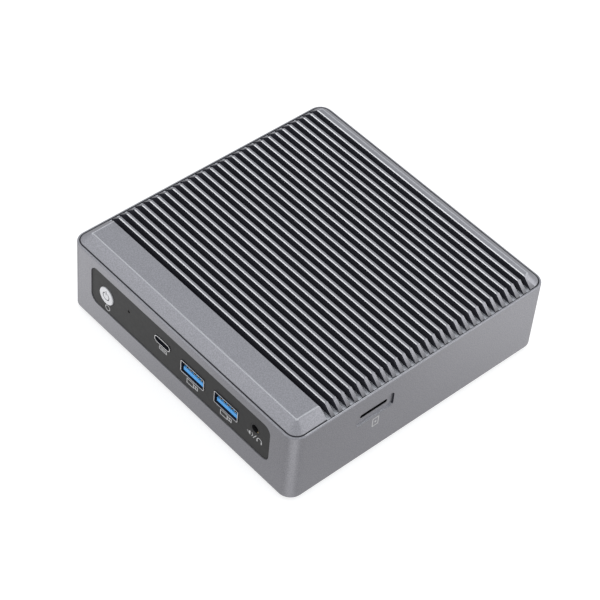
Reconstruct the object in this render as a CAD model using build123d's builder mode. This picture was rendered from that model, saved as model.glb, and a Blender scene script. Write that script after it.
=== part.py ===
from build123d import *
import os
from math import floor, radians, tan

os.makedirs("parts", exist_ok=True)

# A fanless mini PC. All sizes are in millimetres.
# X runs left to right along the front, Y from the front to the back and Z up.
# The origin lies under the middle of the case, on the surface that the feet stand on.

# Case
case_width = 127.0
case_depth = 127.0
wall_height = 33.0          # side wall, from its bottom edge to the rim
corner_radius = 5.5
wall = 2.5
rim_width = 0.8             # lip that stands round the heatsink cover
rim_round = 0.6
base_round = 0.35
foot_height = 2.0           # feet below the bottom edge of the case

# Heatsink cover
cover_gap = 0.35            # seam between the lip and the cover
cover_seat_depth = 3.0      # ledge below the rim that carries the cover
cover_rise = 3.8            # flat top above the rim
crease_inset = 5.5          # from the side of the case to the top of the sloped border
crease_corner = 0.8
crease_round = 1.2
band_depth = 16.1           # from the front of the case to the first groove
back_strip = 7.7            # least depth left behind the last groove
fin_pitch = 3.73
fin_top = 1.4
fin_draft = 0.17            # each side, from the top to the groove floor
fin_bevel = 0.3
groove_drop = 0.3           # groove floor below the rim

# Bottom cover and feet
base_plate = 1.6
base_lip = 0.8
base_gap = 0.2
foot_radius = 6.0
foot_inset = 17.5           # from the side of the case to the middle of a foot
foot_recess = 0.3
foot_round = 0.5
bracket_spacing = 75.0      # square pattern of threaded holes for a monitor bracket
bracket_boss_radius = 3.5
bracket_boss_height = 4.5
bracket_thread_radius = 1.65

# Screws and the lugs that they enter
screw_radius = 1.45
screw_length = 6.0
screw_head_radius = 2.7
screw_head_height = 1.8
recess_width = 0.6
recess_length = 3.0
recess_depth = 0.9
sink_angle = 90.0           # of the flat heads that hold the bottom cover
thread_gap = 0.05
clearance_gap = 0.3
thread_spare = 0.5          # empty thread past the end of a screw
lug_size = 8.0
upper_lug_height = 3.0
lower_lug_height = 6.5

# Front and rear panels
window_margin = 12.3        # from the side of the case to the end of a panel
window_height = 18.5
window_corner = 3.5
front_window_rise = 19.7    # middle of the front panel above the bottom edge of the case
rear_window_rise = 17.5
panel_gap = 0.1
panel_recess = 0.35
flange_margin = 0.8
flange_thickness = 1.0
hole_gap = 0.15             # round each port that passes through a panel

# Main board
board_rise = 23.3           # underside of the board above the bottom edge of the case
board_thickness = 1.6
board_edge_gap = 3.0
board_notch = 7.0
board_hole_x = 52.0
board_hole_y = 43.0
board_boss_radius = 3.0
board_head_radius = 2.4

# Power button, its switch, and the switch behind the pinhole
button_x = -42.1
button_drop = 4.15          # below the underside of the board
button_radius = 4.0
button_gap = 0.2
button_proud = 0.45
button_flange_width = 0.9
button_flange_thickness = 0.7
button_travel = 0.5
button_edge = 0.25
symbol_radius = 1.75
symbol_stroke = 0.45
symbol_depth = 0.15
symbol_gap_width = 1.5
symbol_bar = 2.1
switch_size = 6.2
switch_depth = 3.5
stem_radius = 1.2
stem_length = 2.4
stem_hidden = 0.4
pinhole_x = -29.0
pinhole_drop = 1.8
pinhole_radius = 0.6
reset_width = 4.0
reset_height = 3.4
reset_depth = 2.6
reset_stem_radius = 0.7
reset_stem_length = 1.4
reset_travel = 0.25
reset_setback = 3.0
running_gap = 0.08

# USB-A sockets
usb_a_width = 13.3
usb_a_height = 6.0
usb_a_depth = 14.0
usb_a_drop = 3.8
usb_sheet = 0.35
usb_corner = 0.8
tongue_width = 11.1
tongue_thickness = 1.84
tongue_lift = 0.62          # free space between the tongue and the near wall of the shell
tongue_setback = 0.7
usb_block_depth = 3.0
insert_gap = 0.05
leg_length = 3.0
front_usb_x = {"left": 8.4, "right": 27.3}
rear_usb_u = {"left": 23.5, "right": 41.0}
rear_proud = 0.1

# USB-C socket
usb_c_x = -9.0
usb_c_width = 8.94
usb_c_height = 3.3
usb_c_depth = 7.5
usb_c_drop = 1.66
usb_c_sheet = 0.3
usb_c_tongue_width = 6.7
usb_c_tongue_thickness = 0.7
usb_c_block_depth = 2.0

# Headphone socket
audio_x = 43.0
audio_drop = 1.64
audio_radius = 1.8
audio_nose_radius = 2.3      # collar that fills the hole in the panel
audio_width = 6.4
audio_height = 5.2
audio_depth = 13.0
audio_bore_depth = 14.6     # from the face of the panel
audio_contact_width = 1.0
audio_contact_length = 5.0
audio_contact_thickness = 0.3

# Memory card slot in the right wall
card_y = -23.9
card_drop = 0.9
card_slot_length = 13.4
card_slot_height = 1.75
card_recess_length = 18.5
card_recess_height = 7.1
card_recess_corner = 1.6
card_recess_depth = 0.8
card_recess_drop = 0.8      # middle of the recess below the underside of the board
reader_width = 15.4
reader_setback = 0.4
reader_plate = 0.35
reader_rail = 1.3
reader_cover_sheet = 0.25
reader_height = 1.9
slider_width = 1.7
slider_length = 6.0
slider_thickness = 0.9
slider_setback = 2.0
slider_travel = 4.0
reader_contact_width = 0.6
reader_contact_pitch = 1.1
reader_contact_length = 4.0
reader_contact_thickness = 0.15
reader_contact_count = 8

# HDMI sockets
hdmi_u = {"left": -30.0, "right": -12.5}
hdmi_width = 15.0
hdmi_height = 5.6
hdmi_depth = 12.0
hdmi_drop = 2.9
hdmi_shoulder = 1.9
hdmi_sheet = 0.35
hdmi_tongue_width = 11.0
hdmi_tongue_thickness = 1.2

# Network socket
lan_u = 5.5
lan_width = 16.2
lan_height = 13.4
lan_depth = 20.0
lan_sheet = 0.3
lan_cavity_width = 11.9
lan_cavity_height = 7.0
lan_cavity_depth = 14.0
lan_cavity_lift = 0.9
lan_key_width = 6.2
lan_key_height = 1.9
lan_contact_count = 8
lan_contact_pitch = 1.02
lan_contact_size = 0.35
lan_contact_length = 8.0
lan_light_width = 3.0
lan_light_height = 2.0
lan_light_depth = 2.0
lan_light_x = 6.0

# Power socket
dc_u = -45.5
dc_drop = 6.0
dc_width = 9.0
dc_height = 11.0
dc_depth = 13.0
dc_collar_radius = 4.0
dc_bore_radius = 3.2
dc_bore_depth = 10.5
dc_pin_radius = 1.05
dc_pin_setback = 1.2

# Processor and the parts round it, on the top of the board
cpu_x = 0.0
cpu_y = 5.0
substrate_width = 35.0
substrate_depth = 24.0
substrate_thickness = 1.0
die_width = 12.0
die_depth = 9.0
die_thickness = 0.6
pad_thickness = 0.8
pad_width = 16.0
pedestal_width = 38.0
choke_size = 6.6
choke_height = 3.0
choke_x = -29.0
choke_pitch = 8.5
choke_count = 3
can_radius = 2.5
can_height = 4.0
can_x = 29.0
can_pitch = 8.0
can_count = 4

# Memory module and its socket, under the board
memory_x = -12.0
memory_y = -42.0
memory_width = 69.6
memory_depth = 30.0
memory_thickness = 1.2
memory_drop = 2.4           # middle of the module below the underside of the board
memory_socket_depth = 6.4
memory_socket_height = 4.0
memory_socket_side = 2.6
memory_grip = 4.0
memory_chip_width = 10.5
memory_chip_depth = 8.0
memory_chip_thickness = 1.0
memory_chip_count = 4
latch_thickness = 0.5
latch_length = 24.0
latch_hook = 1.4
latch_side_gap = 0.35

# Solid state drive and wireless card, under the board
m2_width = 22.0
m2_thickness = 0.8
m2_drop = 2.4
m2_socket_depth = 6.0
m2_socket_height = 4.0
m2_socket_width = 24.0
m2_grip = 3.5
ssd_length = 80.0
ssd_x = 36.0
ssd_y = 4.0
ssd_chip_width = 16.0
ssd_chip_thickness = 1.1
wifi_length = 30.0
wifi_x = 39.0
wifi_y = 33.0
shield_margin = 1.2
shield_height = 1.3
standoff_radius = 2.75
m2_screw_radius = 1.0
m2_head_radius = 2.3
m2_head_height = 0.8

# Coin cell and its holder, under the board
cell_x = -38.0
cell_y = 33.0
cell_radius = 10.0
cell_thickness = 3.2
holder_wall = 1.2
holder_floor = 0.8

# Levels and faces that follow from the sizes above
case_bottom = foot_height
case_top = case_bottom + wall_height
cover_seat = case_top - cover_seat_depth
cover_top = case_top + cover_rise
groove_floor = case_top - groove_drop
base_seat = case_bottom + base_plate
board_bottom = case_bottom + board_rise
board_top = board_bottom + board_thickness
front_face = -case_depth / 2
back_face = case_depth / 2
right_face = case_width / 2
inner_width = case_width - 2 * wall
inner_depth = case_depth - 2 * wall
inner_corner = corner_radius - wall
inner_right = right_face - wall
lug_x = inner_width / 2 - lug_size / 2
lug_y = inner_depth / 2 - lug_size / 2
screw_hole = screw_radius + thread_gap
clearance_hole = screw_radius + clearance_gap
window_width = case_width - 2 * window_margin
front_window_z = case_bottom + front_window_rise
rear_window_z = case_bottom + rear_window_rise
board_width = inner_width - 2 * board_edge_gap
board_depth = inner_depth - 2 * board_edge_gap
board_holes = [(x, y) for x in (-board_hole_x, board_hole_x) for y in (-board_hole_y, board_hole_y)]
button_z = board_bottom - button_drop
pinhole_z = board_bottom - pinhole_drop
usb_a_z = board_bottom - usb_a_drop
usb_c_z = board_bottom - usb_c_drop
audio_z = board_bottom - audio_drop
card_z = board_bottom - card_drop
hdmi_z = board_bottom - hdmi_drop
lan_z = board_bottom - lan_height / 2
dc_z = board_bottom - dc_drop

# Planes that face out of the case. Across them runs the view from outside, left to right.
front_out = Plane(origin=(0, front_face, 0), x_dir=(1, 0, 0), z_dir=(0, -1, 0))
back_out = Plane(origin=(0, back_face, 0), x_dir=(-1, 0, 0), z_dir=(0, 1, 0))
right_out = Plane(origin=(right_face, 0, 0), x_dir=(0, 1, 0), z_dir=(1, 0, 0))
rear_mouth = back_out.offset(rear_proud)


def finish(piece, name):
    """Label a finished piece and write it as its own STEP file."""
    piece.part.label = name
    export_step(piece.part, f"parts/{name}.step")


def corner_places():
    """The four lug centres."""
    return GridLocations(2 * lug_x, 2 * lug_y, 2, 2)


def cut_cross(plane, places):
    """Cut a cross recess into the screw heads that lie on a plane."""
    with BuildSketch(plane) as crosses:
        with Locations(*places):
            Rectangle(recess_length, recess_width)
            Rectangle(recess_width, recess_length)
    extrude(crosses.sketch, amount=-recess_depth, mode=Mode.SUBTRACT)


# ---------------------------------------------------------------- case

with BuildPart() as body_shell:
    with BuildSketch(Plane.XY.offset(case_bottom)):
        RectangleRounded(case_width, case_depth, corner_radius)
    extrude(amount=wall_height)
    fillet(body_shell.edges().group_by(Axis.Z)[-1], rim_round)
    fillet(body_shell.edges().group_by(Axis.Z)[0], base_round)
    with BuildSketch(Plane.XY.offset(case_bottom)):
        RectangleRounded(inner_width, inner_depth, inner_corner)
    extrude(amount=wall_height, mode=Mode.SUBTRACT)
    with BuildSketch(Plane.XY.offset(cover_seat)):
        RectangleRounded(case_width - 2 * rim_width, case_depth - 2 * rim_width, corner_radius - rim_width)
    extrude(amount=cover_seat_depth, mode=Mode.SUBTRACT)
    with BuildSketch(Plane.XY.offset(case_bottom)):
        RectangleRounded(case_width - 2 * base_lip, case_depth - 2 * base_lip, corner_radius - base_lip)
    extrude(amount=base_plate, mode=Mode.SUBTRACT)
    # Lugs in the four corners: the upper ones carry the heatsink cover, the lower ones the bottom cover
    with BuildSketch(Plane.XY.offset(cover_seat)):
        with corner_places():
            Rectangle(lug_size, lug_size)
    extrude(amount=-upper_lug_height)
    with BuildSketch(Plane.XY.offset(base_seat)):
        with corner_places():
            Rectangle(lug_size, lug_size)
    extrude(amount=lower_lug_height)
    with BuildSketch(Plane.XY.offset(cover_seat)):
        with corner_places():
            Circle(clearance_hole)
    extrude(amount=-upper_lug_height, mode=Mode.SUBTRACT)
    with BuildSketch(Plane.XY.offset(base_seat)):
        with corner_places():
            Circle(screw_hole)
    extrude(amount=lower_lug_height, mode=Mode.SUBTRACT)
    # Windows for the front and rear panels
    with BuildSketch(front_out):
        with Locations((0, front_window_z)):
            RectangleRounded(window_width, window_height, window_corner)
    extrude(amount=-wall, mode=Mode.SUBTRACT)
    with BuildSketch(back_out):
        with Locations((0, rear_window_z)):
            RectangleRounded(window_width, window_height, window_corner)
    extrude(amount=-wall, mode=Mode.SUBTRACT)
    # Finger recess and slot for the memory card
    with BuildSketch(right_out):
        with Locations((card_y, board_bottom - card_recess_drop)):
            RectangleRounded(card_recess_length, card_recess_height, card_recess_corner)
    extrude(amount=-card_recess_depth, mode=Mode.SUBTRACT)
    with BuildSketch(right_out):
        with Locations((card_y, card_z)):
            SlotOverall(card_slot_length, card_slot_height)
    extrude(amount=-wall, mode=Mode.SUBTRACT)
finish(body_shell, "body_shell")

# ---------------------------------------------------------------- heatsink cover

cover_inset = rim_width + cover_gap
cover_width = case_width - 2 * cover_inset
cover_depth = case_depth - 2 * cover_inset
cover_corner = corner_radius - cover_inset
groove_top = fin_pitch - fin_top
groove_room = case_depth - band_depth - back_strip - groove_top
groove_count = floor(groove_room / fin_pitch) + 1
first_groove = front_face + band_depth + groove_top / 2
pad_bottom = board_top + substrate_thickness + die_thickness
pedestal_bottom = pad_bottom + pad_thickness
thread_reach = screw_length - upper_lug_height

with BuildPart() as heatsink_cover:
    with BuildSketch(Plane.XY.offset(cover_seat)):
        RectangleRounded(cover_width, cover_depth, cover_corner)
    extrude(amount=cover_seat_depth)
    with BuildSketch(Plane.XY.offset(case_top)):
        RectangleRounded(cover_width, cover_depth, cover_corner)
    with BuildSketch(Plane.XY.offset(cover_top)):
        RectangleRounded(case_width - 2 * crease_inset, case_depth - 2 * crease_inset, crease_corner)
    loft(ruled=True)
    fillet(heatsink_cover.edges().group_by(Axis.Z)[-1], crease_round)
    # Grooves between the fins, wider at the top, with a bevel on each fin's edges
    with BuildSketch(Plane.YZ):
        for groove in range(groove_count):
            with Locations((first_groove + groove * fin_pitch, 0)):
                Polygon(
                    (-groove_top / 2 + fin_draft, groove_floor),
                    (-groove_top / 2, cover_top - fin_bevel),
                    (-groove_top / 2 - fin_bevel, cover_top),
                    (groove_top / 2 + fin_bevel, cover_top),
                    (groove_top / 2, cover_top - fin_bevel),
                    (groove_top / 2 - fin_draft, groove_floor),
                    align=None,
                )
    extrude(amount=case_width / 2, both=True, mode=Mode.SUBTRACT)
    # Pedestal over the processor and bosses that carry the board
    with BuildSketch(Plane.XY.offset(cover_seat)):
        with Locations((cpu_x, cpu_y)):
            RectangleRounded(pedestal_width, pedestal_width, crease_corner)
    extrude(amount=pedestal_bottom - cover_seat)
    with BuildSketch(Plane.XY.offset(cover_seat)):
        with Locations(*board_holes):
            Circle(board_boss_radius)
    extrude(amount=board_top - cover_seat)
    with BuildSketch(Plane.XY.offset(board_top)):
        with Locations(*board_holes):
            Circle(screw_hole)
    extrude(amount=screw_length - board_thickness + thread_spare, mode=Mode.SUBTRACT)
    with BuildSketch(Plane.XY.offset(cover_seat)):
        with corner_places():
            Circle(screw_hole)
    extrude(amount=thread_reach + thread_spare, mode=Mode.SUBTRACT)
finish(heatsink_cover, "heatsink_cover")

with BuildPart() as heatsink_screws:
    head_plane = Plane.XY.offset(cover_seat - upper_lug_height)
    with BuildSketch(head_plane):
        with corner_places():
            Circle(screw_radius)
    extrude(amount=screw_length)
    with BuildSketch(head_plane):
        with corner_places():
            Circle(screw_head_radius)
    extrude(amount=-screw_head_height)
    lowest = Plane(origin=(0, 0, cover_seat - upper_lug_height - screw_head_height), z_dir=(0, 0, -1))
    cut_cross(lowest, [(x, y) for x in (-lug_x, lug_x) for y in (-lug_y, lug_y)])
finish(heatsink_screws, "heatsink_screws")

# ---------------------------------------------------------------- bottom cover, feet and screws

base_width = case_width - 2 * (base_lip + base_gap)
base_depth = case_depth - 2 * (base_lip + base_gap)
base_corner = corner_radius - base_lip - base_gap
foot_x = case_width / 2 - foot_inset
foot_y = case_depth / 2 - foot_inset
sink_top_radius = screw_head_radius + thread_gap
sink_height = (screw_head_radius - screw_radius) / tan(radians(sink_angle / 2))

with BuildPart() as bottom_cover:
    with BuildSketch(Plane.XY.offset(case_bottom)):
        RectangleRounded(base_width, base_depth, base_corner)
    extrude(amount=base_plate)
    with BuildSketch(Plane.XY.offset(base_seat)):
        with GridLocations(bracket_spacing, bracket_spacing, 2, 2):
            Circle(bracket_boss_radius)
    extrude(amount=bracket_boss_height)
    with BuildSketch(Plane.XY.offset(case_bottom)):
        with GridLocations(bracket_spacing, bracket_spacing, 2, 2):
            Circle(bracket_thread_radius)
    extrude(amount=base_plate + bracket_boss_height - thread_spare, mode=Mode.SUBTRACT)
    with BuildSketch(Plane.XY.offset(case_bottom)):
        with GridLocations(2 * foot_x, 2 * foot_y, 2, 2):
            Circle(foot_radius + base_gap)
    extrude(amount=foot_recess, mode=Mode.SUBTRACT)
    with Locations(Plane(origin=(0, 0, case_bottom), z_dir=(0, 0, -1))):
        with corner_places():
            CounterSinkHole(screw_hole, sink_top_radius, depth=base_plate, counter_sink_angle=sink_angle)
finish(bottom_cover, "bottom_cover")

with BuildPart() as rubber_feet:
    with BuildSketch(Plane.XY):
        with GridLocations(2 * foot_x, 2 * foot_y, 2, 2):
            Circle(foot_radius)
    extrude(amount=foot_height + foot_recess)
    fillet(rubber_feet.edges().group_by(Axis.Z)[0], foot_round)
finish(rubber_feet, "rubber_feet")

with BuildPart() as bottom_cover_screws:
    with Locations(Plane.XY.offset(case_bottom)):
        with corner_places():
            Cone(screw_head_radius, screw_radius, sink_height,
                 align=(Align.CENTER, Align.CENTER, Align.MIN))
    with BuildSketch(Plane.XY.offset(case_bottom + sink_height)):
        with corner_places():
            Circle(screw_radius)
    extrude(amount=base_plate + lower_lug_height - sink_height - thread_spare)
    underside = Plane(origin=(0, 0, case_bottom), z_dir=(0, 0, -1))
    cut_cross(underside, [(x, y) for x in (-lug_x, lug_x) for y in (-lug_y, lug_y)])
finish(bottom_cover_screws, "bottom_cover_screws")

# ---------------------------------------------------------------- front and rear panels

with BuildSketch(front_out) as front_holes:
    with Locations((button_x, button_z)):
        Circle(button_radius + button_gap)
    with Locations((pinhole_x, pinhole_z)):
        Circle(pinhole_radius)
    with Locations((usb_c_x, usb_c_z)):
        SlotOverall(usb_c_width + 2 * hole_gap, usb_c_height + 2 * hole_gap)
    with Locations(*[(x, usb_a_z) for x in front_usb_x.values()]):
        RectangleRounded(usb_a_width + 2 * hole_gap, usb_a_height + 2 * hole_gap, usb_corner + hole_gap)
    with Locations((audio_x, audio_z)):
        Circle(audio_nose_radius + hole_gap)

# The network and power sockets fill their holes from behind
with BuildSketch(back_out) as rear_holes:
    with Locations((dc_u, dc_z)):
        Circle(dc_collar_radius + hole_gap)
    with Locations(*[(u, hdmi_z) for u in hdmi_u.values()]):
        Rectangle(hdmi_width + 2 * hole_gap, hdmi_height + 2 * hole_gap)
    with Locations((lan_u, lan_z)):
        Rectangle(lan_width + 2 * hole_gap, lan_height + 2 * hole_gap)
    with Locations(*[(u, usb_a_z) for u in rear_usb_u.values()]):
        RectangleRounded(usb_a_width + 2 * hole_gap, usb_a_height + 2 * hole_gap, usb_corner + hole_gap)


def make_panel(out, window_z, holes, name):
    """A plate that fills a window from inside, with a flange against the inner wall."""
    with BuildPart() as panel:
        with BuildSketch(out.offset(-panel_recess)):
            with Locations((0, window_z)):
                RectangleRounded(
                    window_width - 2 * panel_gap, window_height - 2 * panel_gap, window_corner - panel_gap
                )
        extrude(amount=panel_recess - wall)
        with BuildSketch(out.offset(-wall)):
            with Locations((0, window_z)):
                RectangleRounded(
                    window_width + 2 * flange_margin,
                    window_height + 2 * flange_margin,
                    window_corner + flange_margin,
                )
        extrude(amount=-flange_thickness)
        extrude(holes.sketch, amount=-wall - flange_thickness, mode=Mode.SUBTRACT)
    finish(panel, name)


make_panel(front_out, front_window_z, front_holes, "front_panel")
make_panel(back_out, rear_window_z, rear_holes, "rear_panel")

# ---------------------------------------------------------------- power button and switches

panel_back = wall + flange_thickness
button_flange_at = panel_back + clearance_gap
button_back = button_flange_at + button_flange_thickness
switch_at = button_back + stem_length - stem_hidden
reset_at = panel_back + reset_setback
button_face = front_out.offset(button_proud - panel_recess)

with BuildPart() as power_button:
    with BuildSketch(button_face):
        with Locations((button_x, button_z)):
            Circle(button_radius)
    extrude(amount=panel_recess - button_proud - button_flange_at)
    chamfer(power_button.edges().group_by(Axis.Y)[0], button_edge)
    with BuildSketch(front_out.offset(-button_flange_at)):
        with Locations((button_x, button_z)):
            Circle(button_radius + button_flange_width)
    extrude(amount=-button_flange_thickness)
    # Sunk mark: an open ring with a bar in its gap
    with BuildSketch(button_face):
        with Locations((button_x, button_z)):
            Circle(symbol_radius + symbol_stroke / 2)
            Circle(symbol_radius - symbol_stroke / 2, mode=Mode.SUBTRACT)
        with Locations((button_x, button_z + symbol_radius)):
            Rectangle(symbol_gap_width, symbol_radius, mode=Mode.SUBTRACT)
            Rectangle(symbol_stroke, symbol_bar)
    extrude(amount=-symbol_depth, mode=Mode.SUBTRACT)
finish(power_button, "power_button")


def make_switch(x, z, at, width, half_height, depth, stem, stem_depth, name):
    """A press switch that hangs from the board, with a well for its stem."""
    with BuildPart() as switch:
        with BuildSketch(front_out.offset(-at)):
            with Locations((x, (board_bottom + z - half_height) / 2)):
                Rectangle(width, board_bottom - z + half_height)
        extrude(amount=-depth)
        with BuildSketch(front_out.offset(-at)):
            with Locations((x, z)):
                Circle(stem + running_gap)
        extrude(amount=-stem_depth, mode=Mode.SUBTRACT)
    finish(switch, name)


def make_stem(x, z, start, stem, length, name):
    """The moving pin of a press switch."""
    with BuildPart() as pin:
        with BuildSketch(front_out.offset(-start)):
            with Locations((x, z)):
                Circle(stem)
        extrude(amount=-length)
    finish(pin, name)


power_well = stem_hidden + button_travel + clearance_gap
reset_well = stem_hidden + reset_travel + clearance_gap
reset_start = reset_at + stem_hidden - reset_stem_length
make_switch(button_x, button_z, switch_at, switch_size, switch_size / 2, switch_depth, stem_radius,
            power_well, "power_switch")
make_stem(button_x, button_z, button_back, stem_radius, stem_length, "power_switch_stem")
make_switch(pinhole_x, pinhole_z, reset_at, reset_width, reset_height / 2, reset_depth,
            reset_stem_radius, reset_well, "reset_switch")
make_stem(pinhole_x, pinhole_z, reset_start, reset_stem_radius, reset_stem_length, "reset_switch_stem")

# ---------------------------------------------------------------- USB sockets

usb_inner = usb_sheet + insert_gap
usb_block_at = usb_a_depth - usb_inner - usb_block_depth
tongue_z = usb_a_z - usb_a_height / 2 + usb_sheet + tongue_lift + tongue_thickness / 2


def make_usb_a(out, x, name):
    """A USB-A socket: a sheet-metal shell with two legs, and an insert with the tongue."""
    with BuildPart() as shell:
        with BuildSketch(out):
            with Locations((x, usb_a_z)):
                RectangleRounded(usb_a_width, usb_a_height, usb_corner)
        extrude(amount=-usb_a_depth)
        with BuildSketch(out):
            with Locations((x, usb_a_z)):
                RectangleRounded(
                    usb_a_width - 2 * usb_sheet, usb_a_height - 2 * usb_sheet, usb_corner - usb_sheet
                )
        extrude(amount=usb_sheet - usb_a_depth, mode=Mode.SUBTRACT)
        with BuildSketch(out.offset(-usb_a_depth / 2)):
            with Locations((x, (usb_a_z + board_bottom) / 2)):
                with GridLocations(usb_a_width - usb_sheet, 1, 2, 1):
                    Rectangle(usb_sheet, board_bottom - usb_a_z)
        extrude(amount=-leg_length)
    finish(shell, f"{name}_shell")
    with BuildPart() as insert:
        with BuildSketch(out.offset(-usb_block_at)):
            with Locations((x, usb_a_z)):
                RectangleRounded(
                    usb_a_width - 2 * usb_inner, usb_a_height - 2 * usb_inner, usb_corner - usb_inner
                )
        extrude(amount=-usb_block_depth)
        with BuildSketch(out.offset(-tongue_setback)):
            with Locations((x, tongue_z)):
                Rectangle(tongue_width, tongue_thickness)
        extrude(amount=tongue_setback - usb_block_at)
    finish(insert, f"{name}_insert")


for side, x in front_usb_x.items():
    make_usb_a(front_out, x, f"front_usb_{side}")
for side, u in rear_usb_u.items():
    make_usb_a(rear_mouth, u, f"rear_usb_{side}")

usb_c_inner = usb_c_sheet + insert_gap
usb_c_block_at = usb_c_depth - usb_c_inner - usb_c_block_depth

with BuildPart() as usb_c_shell:
    with BuildSketch(front_out):
        with Locations((usb_c_x, usb_c_z)):
            SlotOverall(usb_c_width, usb_c_height)
    extrude(amount=-usb_c_depth)
    with BuildSketch(front_out):
        with Locations((usb_c_x, usb_c_z)):
            SlotOverall(usb_c_width - 2 * usb_c_sheet, usb_c_height - 2 * usb_c_sheet)
    extrude(amount=usb_c_sheet - usb_c_depth, mode=Mode.SUBTRACT)
finish(usb_c_shell, "usb_c_shell")

with BuildPart() as usb_c_insert:
    with BuildSketch(front_out.offset(-usb_c_block_at)):
        with Locations((usb_c_x, usb_c_z)):
            SlotOverall(usb_c_width - 2 * usb_c_inner, usb_c_height - 2 * usb_c_inner)
    extrude(amount=-usb_c_block_depth)
    with BuildSketch(front_out.offset(-tongue_setback)):
        with Locations((usb_c_x, usb_c_z)):
            Rectangle(usb_c_tongue_width, usb_c_tongue_thickness)
    extrude(amount=tongue_setback - usb_c_block_at)
finish(usb_c_insert, "usb_c_insert")

# ---------------------------------------------------------------- headphone socket

contact_out = audio_radius + insert_gap + audio_contact_thickness
contact_middle = contact_out - audio_contact_thickness / 2
contact_sides = (audio_x - contact_middle, audio_z), (audio_x + contact_middle, audio_z)

with BuildPart() as audio_jack:
    with BuildSketch(front_out.offset(-panel_back)):
        with Locations((audio_x, audio_z)):
            Rectangle(audio_width, audio_height)
    extrude(amount=-audio_depth)
    with BuildSketch(front_out.offset(-panel_recess)):
        with Locations((audio_x, audio_z)):
            Circle(audio_nose_radius)
    extrude(amount=panel_recess - panel_back)
    with BuildSketch(front_out.offset(-panel_recess)):
        with Locations((audio_x, audio_z)):
            Circle(audio_radius)
    extrude(amount=-audio_bore_depth, mode=Mode.SUBTRACT)
    # Pockets beside the bore for the spring contacts
    with BuildSketch(front_out.offset(-panel_back - audio_contact_width)):
        with Locations((audio_x, audio_z)):
            Rectangle(2 * contact_out + 2 * insert_gap, audio_contact_width + 2 * insert_gap)
    extrude(amount=-audio_contact_length - 2 * insert_gap, mode=Mode.SUBTRACT)
finish(audio_jack, "audio_jack")

with BuildPart() as audio_contacts:
    with BuildSketch(front_out.offset(-panel_back - audio_contact_width - insert_gap)):
        with Locations(*contact_sides):
            Rectangle(audio_contact_thickness, audio_contact_width)
    extrude(amount=-audio_contact_length)
finish(audio_contacts, "audio_contacts")

# ---------------------------------------------------------------- memory card reader

reader_length = slider_setback + slider_length + slider_travel + clearance_gap + reader_rail
reader_front = inner_right - reader_setback
reader_x = reader_front - reader_length / 2
reader_bottom = board_bottom - reader_height
slider_x = reader_front - slider_setback - slider_length / 2
slider_y = card_y + reader_width / 2 - reader_rail - running_gap - slider_width / 2
reader_contact_x = reader_x - reader_length / 2 + reader_rail + reader_contact_length

with BuildPart() as card_reader_base:
    with BuildSketch(Plane.XY.offset(reader_bottom)):
        with Locations((reader_x, card_y)):
            Rectangle(reader_length, reader_width)
    extrude(amount=reader_height)
    with BuildSketch(Plane.XY.offset(reader_bottom)):
        with Locations((reader_x + reader_rail / 2, card_y)):
            Rectangle(reader_length - reader_rail, reader_width - 2 * reader_rail)
    extrude(amount=reader_height - reader_plate, mode=Mode.SUBTRACT)
finish(card_reader_base, "card_reader_base")

with BuildPart() as card_reader_cover:
    with BuildSketch(Plane.XY.offset(reader_bottom)):
        with Locations((reader_x, card_y)):
            Rectangle(reader_length, reader_width)
    extrude(amount=-reader_cover_sheet)
finish(card_reader_cover, "card_reader_cover")

with BuildPart() as card_reader_slider:
    with BuildSketch(Plane.XY.offset(card_z - slider_thickness / 2)):
        with Locations((slider_x, slider_y)):
            Rectangle(slider_length, slider_width)
    extrude(amount=slider_thickness)
finish(card_reader_slider, "card_reader_slider")

with BuildPart() as card_reader_contacts:
    with BuildSketch(Plane.XY.offset(board_bottom - reader_plate)):
        with Locations((reader_contact_x, card_y - reader_contact_pitch / 2)):
            with GridLocations(1, reader_contact_pitch, 1, reader_contact_count):
                Rectangle(reader_contact_length, reader_contact_width)
    extrude(amount=-reader_contact_thickness)
finish(card_reader_contacts, "card_reader_contacts")

# ---------------------------------------------------------------- rear sockets

hdmi_inner = hdmi_sheet + insert_gap
hdmi_block_at = hdmi_depth - hdmi_inner - usb_block_depth
hdmi_outline = [
    (-hdmi_width / 2, -hdmi_height / 2),
    (hdmi_width / 2, -hdmi_height / 2),
    (hdmi_width / 2, hdmi_height / 2 - hdmi_shoulder),
    (hdmi_width / 2 - hdmi_shoulder, hdmi_height / 2),
    (hdmi_shoulder - hdmi_width / 2, hdmi_height / 2),
    (-hdmi_width / 2, hdmi_height / 2 - hdmi_shoulder),
]

for side, u in hdmi_u.items():
    with BuildPart() as hdmi_shell:
        with BuildSketch(rear_mouth):
            with Locations((u, hdmi_z)):
                Polygon(*hdmi_outline, align=None)
        extrude(amount=-hdmi_depth)
        with BuildSketch(rear_mouth):
            with Locations((u, hdmi_z)):
                Polygon(*hdmi_outline, align=None)
            offset(amount=-hdmi_sheet, kind=Kind.INTERSECTION)
        extrude(amount=hdmi_sheet - hdmi_depth, mode=Mode.SUBTRACT)
    finish(hdmi_shell, f"hdmi_{side}_shell")
    with BuildPart() as hdmi_insert:
        with BuildSketch(rear_mouth.offset(-hdmi_block_at)):
            with Locations((u, hdmi_z)):
                Polygon(*hdmi_outline, align=None)
            offset(amount=-hdmi_inner, kind=Kind.INTERSECTION)
        extrude(amount=-usb_block_depth)
        with BuildSketch(rear_mouth.offset(-tongue_setback)):
            with Locations((u, hdmi_z)):
                Rectangle(hdmi_tongue_width, hdmi_tongue_thickness)
        extrude(amount=tongue_setback - hdmi_block_at)
    finish(hdmi_insert, f"hdmi_{side}_insert")

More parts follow.
